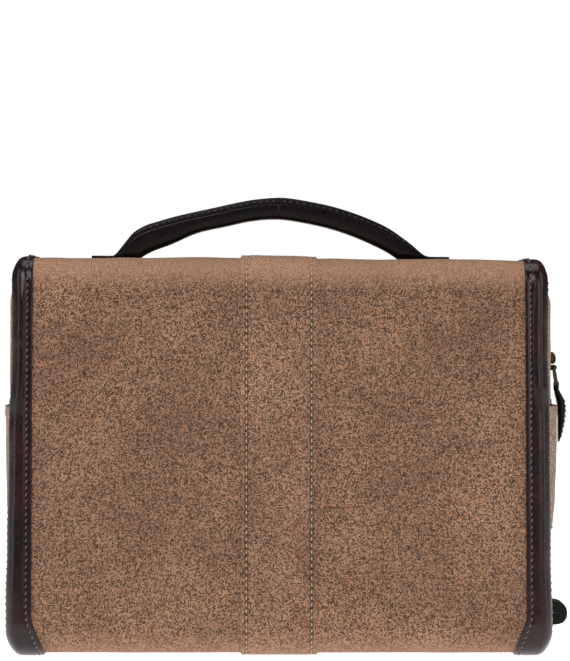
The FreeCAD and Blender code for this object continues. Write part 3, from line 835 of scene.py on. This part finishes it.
# a tooth's sections: distance out from the middle, half width, half height
TOOTH = ((2.75, 0.35, 0.55), (2.6, 0.62, 1.0), (1.6, 0.66, 1.08), (0.9, 0.62, 1.0), (0.3, 0.5, 0.8),
         (-0.35, 0.46, 0.72), (-0.55, 0.3, 0.45))


def make_teeth(name, side):
    """One side's teeth: a rounded body clasped on the tape's cord and a nose that meets the other side's."""
    proud = 0.7
    path, normals = zip_path(TAPE_INSET - proud, TAPE_DROP - proud, ZIP_LOW + 2.0, 0.6)
    arc = arc_of(path)
    pitch = 2.3
    start = 0.8 if side < 0 else 0.8 + pitch / 2
    parts = []
    for s in np.arange(start, arc[-1] - 0.6, pitch):
        p = np.array([np.interp(s, arc, path[:, k]) for k in (0, 1)])
        n = np.array([np.interp(s, arc, normals[:, k]) for k in (0, 1)])
        n /= np.linalg.norm(n)
        t = np.array([n[1], -n[0]])
        rings = []
        for y, wide, tall in TOOTH:
            ring = []
            for k in range(10):
                a = 2 * math.pi * (k + 0.5) / 10
                ca, sa = math.cos(a), math.sin(a)
                u = squared(ca, 0.6) * wide
                w = squared(sa, 0.6) * tall - 1.1
                ring.append((p[0] + t[0] * u + n[0] * w, side * y, p[1] + t[1] * u + n[1] * w))
            rings.append(ring)
        parts.append(swept(rings, np.zeros((len(TOOTH), 10, 2))))
    obj = add_parts(f"teeth_{name}", parts, TEETH)
    fix(obj, f"{name}_jaw", "zip_teeth", f"zip_chain_{name}")


STAY_Y, STAY_Z = 21.5, 198.6


def make_crown():
    """The slider's crown: a rounded dome from the plate's nose down to the bail."""
    line = [(141.7, 154.6), (142.6, 155.4), (143.9, 155.0), (144.9, 153.4), (145.2, 151.4),
            (144.9, 149.8), (143.9, 148.9), (142.6, 148.9), (141.7, 149.6)]
    path = soft_line(line, 2, closed=True)
    middle = path.mean(axis=0)
    rings = []
    flank = [(1.75, 0.8), (1.6, 0.94), (1.3, 1.0), (0.5, 1.0)]
    for y, k in [(-y, k) for y, k in flank] + flank[::-1]:
        rings.append([(middle[0] + (x - middle[0]) * k, y, middle[1] + (z - middle[1]) * k)
                      for x, z in path])
    obj = add_parts("slider_crown", [swept(rings, np.zeros((8, len(path), 2)))], METAL)
    fix(obj, "slider", "hardware")


def make_stays():
    """The springy strips that hold the mouth's lips straight, sewn into a cotton sleeve."""
    for name, side in SIDES.items():
        rings, uv = [], []
        for x in np.concatenate([[-116.6, -116.0], np.linspace(-115, 115, 70), [116.0, 116.6]]):
            k = 1.0 if abs(x) < 116.5 else 0.86
            ring = []
            for a in np.linspace(0, 2 * math.pi, 20, endpoint=False):
                c, w = math.cos(a), math.sin(a)
                y = 4.7 * k * squared(c, 0.4)
                z = (0.75 + 0.08 * ripple(x, y, 7.0, 95 + side)) * k * squared(w, 0.6)
                ring.append((x, y, z))
            rings.append([(x, side * STAY_Y + y, STAY_Z + z) for x, y, z in ring])
            uv.append([(y, x + 5000) for x, y, z in ring])
        obj = add_parts(f"stay_sleeve_{name}", [swept(rings, np.array(uv))], LINING)
        fix(obj, f"{name}_jaw", "stay_steel", f"top_stay_{name}")
        runs = []
        for dy in (-3.4, 3.4):
            line = [(x, side * STAY_Y + dy, STAY_Z - 0.78) for x in np.linspace(-114, 114, 60)]
            runs += stitch_run(line, [(0, 0, -1)] * 60, 3.0, 2.1, 0.22, sink=0.1)
        fix(add_parts(f"stay_stitches_{name}", runs, TAN_THREAD), f"{name}_jaw", "stay_steel")


def make_zip_end_tabs():
    """A folded leather stop over the foot of the zipper at each end."""
    for end_name, end in ENDS.items():
        x0 = END_X - OUTER_D + BULGES[end] + 0.15
        rings, uv = [], []
        tips = (HINGE_Z - 12.0, HINGE_Z - 0.3)
        middle = np.linspace(HINGE_Z - 11, HINGE_Z - 1.4, 9)
        for z in (tips[0], HINGE_Z - 11.7, *middle, HINGE_Z - 0.6, tips[1]):
            k = 0.8 if z in tips else 1.0
            swell = 0.35 * bell(z - HINGE_Z + 6, 4.0)
            ring = []
            for a in np.linspace(0, 2 * math.pi, 24, endpoint=False):
                c, w = math.cos(a), math.sin(a)
                ring.append((x0 + 0.75 + (0.62 + swell * (c > 0)) * k * squared(c, 0.5),
                             4.6 * (0.9 + 0.1 * k) * squared(w, 0.7)))
            rings.append([(end * x, y, z) for x, y in ring])
            uv.append([(y, z) for x, y in ring])
        obj = add_parts(f"zip_stop_{end_name}", [swept(rings, np.array(uv))], BLACK)
        fix(obj, "body", "handle_leather", f"zip_end_tab_{end_name}")
        line = [(end * (x0 + 1.35), y, HINGE_Z - 3.0) for y in np.linspace(-3.6, 3.6, 12)]
        runs = stitch_run(line, [(end, 0, 0)] * 12, 1.8, 1.3, 0.2, sink=0.1)
        fix(add_parts(f"zip_stop_stitches_{end_name}", runs, BLACK_THREAD), "body", "handle_leather")


def paint(node, material):
    """A CAD node keeps its shape and gets a worked-out material."""
    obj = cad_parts[node]
    obj.data.materials.clear()
    obj.data.materials.append(material)


# ---------------------------------------------------------------- handle
CREST = [
    (-0.318, 2.5), (-0.312, 2.6), (-0.294, 6.6), (-0.2725, 13.6), (-0.254, 16.8), (-0.221, 19.8),
    (-0.125, 25.9), (-0.033, 31.0), (0.004, 31.8), (0.055, 30.2), (0.107, 27.2), (0.162, 22.0),
    (0.206, 16.2), (0.236, 10.4), (0.256, 6.2), (0.272, 3.4), (0.284, 2.6), (0.290, 2.5),
]
BELLY = [
    (-0.262, 0.1), (-0.247, 2.6), (-0.202, 7.4), (-0.155, 12.8), (-0.099, 16.3), (-0.052, 19.2),
    (-0.007, 20.4), (0.048, 18.8), (0.107, 15.1), (0.162, 9.4), (0.210, 2.6), (0.223, 0.1),
]


def fair(points, xs):
    """A smooth line through points, read at xs."""
    p = np.array(points, float)
    p[:, 0] *= 2 * END_X
    slopes = np.gradient(p[:, 1], p[:, 0])
    out = []
    for x in xs:
        if x <= p[0, 0]:
            out.append(p[0, 1])
            continue
        if x >= p[-1, 0]:
            out.append(p[-1, 1])
            continue
        k = int(np.searchsorted(p[:, 0], x)) - 1
        h = p[k + 1, 0] - p[k, 0]
        t = (x - p[k, 0]) / h
        a, b = p[k, 1], p[k + 1, 1]
        m0, m1 = slopes[k] * h, slopes[k + 1] * h
        out.append((2 * t**3 - 3 * t**2 + 1) * a + (t**3 - 2 * t**2 + t) * m0
                   + (3 * t**2 - 2 * t**3) * b + (t**3 - t**2) * m1)
    return np.array(out)


def handle_ring(x, low, high, half):
    """The handle's section at x: a crowned strap over a rounded core, with a seam along each side."""
    tall = high - low
    seam = high - min(3.0, tall * 0.42)
    core = half - 0.5
    r = min(3.2, tall * 0.35)
    points = [
        (core - r, low), (core - 0.25 * r, low + 0.3 * r), (core, low + r),
        (core + 0.05, (low + r + seam) / 2), (core, seam - 0.5), (core - 0.25, seam),
        (half, seam + 0.45), (half, high - 0.9),
        (half - 0.9, high - 0.1), (half * 0.5, high + 0.25),
    ]
    mirrored = [(-y, z) for y, z in reversed(points)]
    foot = (0, low - 0.1 if tall > 6 else low)
    ring = mirrored[-1:] + [foot] + points + [(0, high + 0.4)] + mirrored[:-1]
    return soft_line(ring, 1, closed=True)


def make_handle():
    seat = 0.1
    for name, x0 in (("left", -0.350 * 2 * END_X), ("right", 0.318 * 2 * END_X)):
        xs = np.linspace(x0, 0.0, 90)
        high = fair(CREST, xs)
        low = fair(BELLY, xs)
        rings, uv = [], []
        side_a, side_b = [], []
        for x, h, l in zip(xs, high, low):
            tip = abs(x - x0)
            half = 8.5 if tip > 8 else 8.5 * math.sqrt(max(0.12, 1 - ((8 - tip) / 8) ** 2 * 0.75))
            h -= 0.4 + 1.0 * smooth((8.0 - h) / 5.0)
            l = max(l, seat)
            ring = handle_ring(x, l, max(h, l + 1.2), half)
            rings.append([(x, HANDLE_Y + y, HEIGHT + z) for y, z in ring])
            uv.append([(x, y) for y, z in ring])
            if 22 < tip < abs(x0) - 0.5:
                z = HEIGHT + max(h, l + 1.2) - 1.6
                side_a.append((x, HANDLE_Y - half + 0.05, z))
                side_b.append((x, HANDLE_Y + half - 0.05, z))
        obj = add_parts(f"handle_{name}_leather", [swept(rings, np.array(uv))], BLACK)
        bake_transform(obj)
        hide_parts(f"handle_end_{name}", *(["handle_grip"] if name == "left" else []))
        runs = []
        for line, way in ((side_a, -1), (side_b, 1)):
            runs += stitch_run(line, [(0, way, 0)] * len(line), 3.4, 2.4, 0.24, sink=0.12)
        stitches = add_parts(f"handle_stitches_{name}", runs, BLACK_THREAD)
        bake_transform(stitches)


# ---------------------------------------------------------------- small leather
def make_grab_tab():
    z0, x0 = 19.0, END_X - OUTER_D + 0.15
    tip = END_X + 12.0
    outer = [(x0 + 1.0, z0 - 6.2), (tip - 6.6, z0 - 6.2), (tip - 2.6, z0 - 5.4), (tip - 0.5, z0 - 3.0),
             (tip, z0), (tip - 0.5, z0 + 3.0), (tip - 2.6, z0 + 5.4), (tip - 6.6, z0 + 6.2),
             (x0 + 1.0, z0 + 6.2)]
    inner = [(x0 + 1.0, z0 + 0.7), (tip - 6.6, z0 + 0.65), (tip - 4.9, z0 + 0.45), (tip - 4.3, z0),
             (tip - 4.9, z0 - 0.45), (tip - 6.6, z0 - 0.65), (x0 + 1.0, z0 - 0.7)]
    section = np.concatenate([soft_line(outer, 2), soft_line(inner, 2)])
    centre = section.mean(axis=0)
    rings, uv = [], []
    for t in np.linspace(-1, 1, 21):
        y = 10.0 * t
        k = 1 - 0.03 * smooth((abs(t) - 0.9) / 0.1)
        rings.append([(centre[0] + (x - centre[0]) * k, y, z0 + (z - z0) * k) for x, z in section])
        uv.append([(x, y) for x, z in section])
    parts = [swept(rings, np.array(uv))]
    patch = []
    for x, k in ((x0, 1.0), (x0 + 0.75, 1.0), (x0 + 1.05, 0.96)):
        ring = []
        for a in np.linspace(0, 2 * math.pi, 28, endpoint=False):
            c, s = math.cos(a), math.sin(a)
            ring.append((x, 10.0 * k * squared(c, 0.35), z0 + 6.3 * k * squared(s, 0.35)))
        patch.append(ring)
    parts.append(swept(patch, np.zeros((3, 28, 2))))
    obj = add_parts("grab_loop", parts, BLACK)
    fix(obj, "body", "handle_leather", "grab_tab")
    runs = []
    for y in (-8.2, 8.2):
        for sign in (-1, 1):
            line = [(x, y, z0 + sign * 6.22) for x in np.linspace(x0 + 1.6, tip - 6.8, 12)]
            runs += stitch_run(line, [(0, 0, sign)] * 12, 2.2, 1.6, 0.24, sink=0.1)
    fix(add_parts("grab_stitches", runs, BLACK_THREAD), "body", "handle_leather")


RING_X, RING_Z = 145.38, 138.605


def make_pull_tab():
    """Two plies of leather folded round the ring's bar and bowed outwards."""
    inner = np.array([(-1.3, 3.0), (-0.4, 7.0), (0.5, 11.0), (0.8, 18.0), (0.8, 25.0), (0.9, 30.5)])
    outer = np.array([(1.3, 3.0), (4.2, 8.5), (4.8, 13.5), (4.2, 20.0), (2.9, 26.0), (1.5, 30.5)])
    depths = np.concatenate([np.linspace(0.6, 6.0, 12), np.linspace(6.8, 29.6, 26), [30.1, 30.4]])
    rings, uv, edge_a, edge_b = [], [], [], []
    for d in depths:
        ya = np.interp(d, inner[:, 1], inner[:, 0])
        yb = np.interp(d, outer[:, 1], outer[:, 0])
        half = 2.1 + 3.4 * smooth((d - 3.0) / 3.2) - 1.9 * smooth((d - 26.0) / 4.4) ** 2
        if d < 3:
            ya, yb = -1.45, 1.45
        mid, thick = (ya + yb) / 2, max((yb - ya) / 2, 0.3)
        ring = []
        for a in np.linspace(0, 2 * math.pi, 26, endpoint=False):
            c, s = math.cos(a), math.sin(a)
            ring.append((mid + thick * squared(c, 0.55), half * squared(s, 0.75)))
        rings.append([(RING_X + x, y, RING_Z - d) for x, y in ring])
        uv.append([(y, d) for x, y in ring])
        if 7 < d < 29:
            edge_a.append((RING_X + mid + thick * 0.93, half - 1.35, RING_Z - d))
            edge_b.append((RING_X + mid + thick * 0.93, 1.35 - half, RING_Z - d))
    parts = [swept(rings, np.array(uv))]
    loop = []
    for a in np.linspace(0.0, math.pi, 15):
        foot = 0.62 if a in (0.0, math.pi) else 0.0
        ring = []
        for k in range(10):
            b = 2 * math.pi * k / 10
            r = 1.18 + 0.3 * math.cos(b)
            ring.append((RING_X + r * math.cos(a), 2.05 * math.sin(b), RING_Z + r * math.sin(a) - foot))
        loop.append(ring)
    parts.append(swept(loop, np.zeros((15, 10, 2))))
    obj = add_parts("pull_leather", parts, BLACK)
    fix(obj, "tab", "handle_leather", "pull_tab")
    runs = stitch_run(edge_a, [(1, 0.25, 0)] * len(edge_a), 2.4, 1.7, 0.22, sink=0.12)
    runs += stitch_run(edge_b, [(1, -0.25, 0)] * len(edge_b), 2.4, 1.7, 0.22, sink=0.12)
    fix(add_parts("pull_stitches", runs, BLACK_THREAD), "tab", "handle_leather")


# ---------------------------------------------------------------- inside
def make_lining():
    ss = arc_steps(4.0)
    ss = np.concatenate([[5.0], ss[ss > 6.0]])
    xs = np.linspace(-134.3, 134.3, 60)
    for name, side in SIDES.items():
        def offset(x, s, z):
            pull = 0.8 * smooth((abs(x) - 120) / 14.0)
            return -3.6 - pull + 0.35 * ripple(x, s, 30.0, 80 + side)

        grid, normals = wall_grid(xs, ss, side, offset)
        parts = [shell(grid, normals, 0.5, cloth_map(xs, ss + 2000 + 300 * side))]
        zs = np.linspace(6.2, 199.6, 60)
        for end in (-1, 1):
            rows, uvs = [], []
            for z in zs:
                y0 = 12.0 * smooth((z - 128) / 4.0) + 0.02
                y1 = reach_at(z, -4.2)
                ys = np.linspace(y0, y1, 12)
                x = END_X - 3.9
                rows.append([(end * (x + 0.3 * ripple(y, z, 25.0, 84 + end)), side * y, z) for y in ys])
                uvs.append([(y, z + 3000) for y in ys])
            g = np.array(rows)
            nor = facing(g, 0, end)
            parts.append(shell(g, nor, 0.5, np.array(uvs)))
        obj = add_parts(f"lining_{name}", parts, LINING)
        bend_wall(obj, wall_nodes(f"lining_{name}_top", "lining_body", side))


def make_inner_pocket():
    xs = np.linspace(-80, 80, 50)
    zs = np.linspace(40.3, 112, 30)
    grid = np.zeros((len(zs), len(xs), 3))
    for i, z in enumerate(zs):
        for j, x in enumerate(xs):
            rim = min((80 - abs(x)) / 7.0, (z - 40) / 8.0)
            depth = 4.5 + 9.0 * smooth(rim) + 0.35 * ripple(x, z, 22.0, 90) * smooth(rim)
            hem = 0.5 * smooth((z - 104.5) / 0.8)
            grid[i, j] = (x, -half_depth(z) + depth + hem, z)
    normals = facing(grid, 1, 1)
    cloth = cloth_map(xs, zs + 4000)
    obj = add_parts("slip_pocket", [shell(grid, normals, 0.7, cloth)], LINING)
    fix(obj, "body", "lining", "inner_pocket")


make_canvas()
make_band()
make_binding()
make_end_panels()
make_pockets()
make_zipper()
make_handle()
make_grab_tab()
make_pull_tab()
make_lining()
make_inner_pocket()
make_stays()
make_zip_end_tabs()
make_crown()
paint("base_board", BOARD)
for node in ("zip_slider", "pull_link"):
    paint(node, METAL)


# ---------------------------------------------------------------- floor, lights and camera, metres
FLOOR_Z = -0.0006
FLOOR_R = 9.0
DOME_R = 9.5


def flat_material(name, colour, glow):
    mat, bsdf, node, tree = node_kit(name)
    calc, mix, fac = kit_math(node)
    dial(bsdf, {"Base Color": colour, "Roughness": 0.9, "Emission Color": (1, 1, 1, 1)})
    deep = node("ShaderNodeSeparateXYZ", {0: node("ShaderNodeTexCoord").outputs["Object"]}).outputs[1]
    near = fac(deep, -0.35, -0.06, 0.12, glow)
    tree.links.new(calc("MAXIMUM", near, fac(deep, -0.9, -1.6, 0.12, glow)), bsdf.inputs["Emission Strength"])
    return mat


def make_stage():
    """A round pale floor, and a far white dome that only shows behind things and lights nothing."""
    verts, faces = [(0.0, 0.0, FLOOR_Z)], []
    count = 64
    for k in range(count):
        a = 2 * math.pi * k / count
        verts.append((FLOOR_R * math.cos(a), FLOOR_R * math.sin(a), FLOOR_Z))
        faces.append((0, 1 + k, 1 + (k + 1) % count))
    mesh = bpy.data.meshes.new("studio_floor")
    mesh.from_pydata(verts, [], faces)
    floor = put("studio_floor", mesh)
    mesh.materials.append(flat_material("pale_floor", (0.86, 0.86, 0.86, 1), 0.95))
    verts, faces, rows = [], [], 12
    for i in range(rows + 1):
        b = math.pi / 2 * i / rows - 0.05
        reach = DOME_R * math.cos(b)
        for k in range(count):
            a = 2 * math.pi * k / count
            verts.append((reach * math.cos(a), reach * math.sin(a), DOME_R * math.sin(b)))
            if i:
                p, q = (i - 1) * count, (k + 1) % count
                faces.append((p + k, p + q, p + count + q, p + count + k))
    mesh = bpy.data.meshes.new("studio_dome")
    mesh.from_pydata(verts, [], faces)
    dome = put("studio_dome", mesh)
    mat, bsdf, node, tree = node_kit("dome_white")
    dial(bsdf, {"Base Color": (0, 0, 0, 1), "Emission Color": (1, 1, 1, 1), "Emission Strength": 1.0})
    mesh.materials.append(mat)
    dome.visible_diffuse = dome.visible_glossy = dome.visible_transmission = dome.visible_shadow = False


def lamp(name, where, size, power, target=(0, 0, 0.11)):
    data = bpy.data.lights.new(name, "AREA")
    data.shape = "RECTANGLE"
    data.size, data.size_y = size
    data.energy = power
    obj = put(name, data)
    obj.location = where
    obj.rotation_euler = (Vector(target) - Vector(where)).to_track_quat("-Z", "Y").to_euler()


make_stage()
lamp("key", (-0.55, -1.25, 1.15), (0.9, 0.7), 12.0)
lamp("fill", (0.9, -1.2, 0.55), (0.8, 0.8), 5.0)
lamp("over", (0.0, 0.1, 1.5), (1.2, 0.8), 7.0)
lamp("left_strip", (-1.0, -0.25, 0.5), (0.25, 1.0), 1.8)
lamp("right_strip", (1.0, -0.25, 0.5), (0.25, 1.0), 1.8)
world = bpy.data.worlds.new("studio")
bpy.context.scene.world = world
world.use_nodes = True
world.node_tree.nodes["Background"].inputs[0].default_value = (1, 1, 1, 1)
world.node_tree.nodes["Background"].inputs[1].default_value = 0.09
bpy.context.scene.view_settings.view_transform = "Standard"

BACK_Y = -0.047        # the wall that faces the camera, about half way up
DISTANCE = 1.5         # from that wall to the camera
VIEW_WIDTH = 0.29013   # what the view takes in across that wall
SENSOR = 36.0
cam_data = bpy.data.cameras.new("camera")
cam_data.sensor_fit = "HORIZONTAL"
cam_data.sensor_width = SENSOR
cam_data.lens = SENSOR * DISTANCE / VIEW_WIDTH
cam_data.clip_start = 0.05
camera = put("camera", cam_data)
camera.location = (0.003054, BACK_Y - DISTANCE, 0.166443)
camera.rotation_euler = (math.pi / 2, 0, 0)
bpy.context.scene.camera = camera
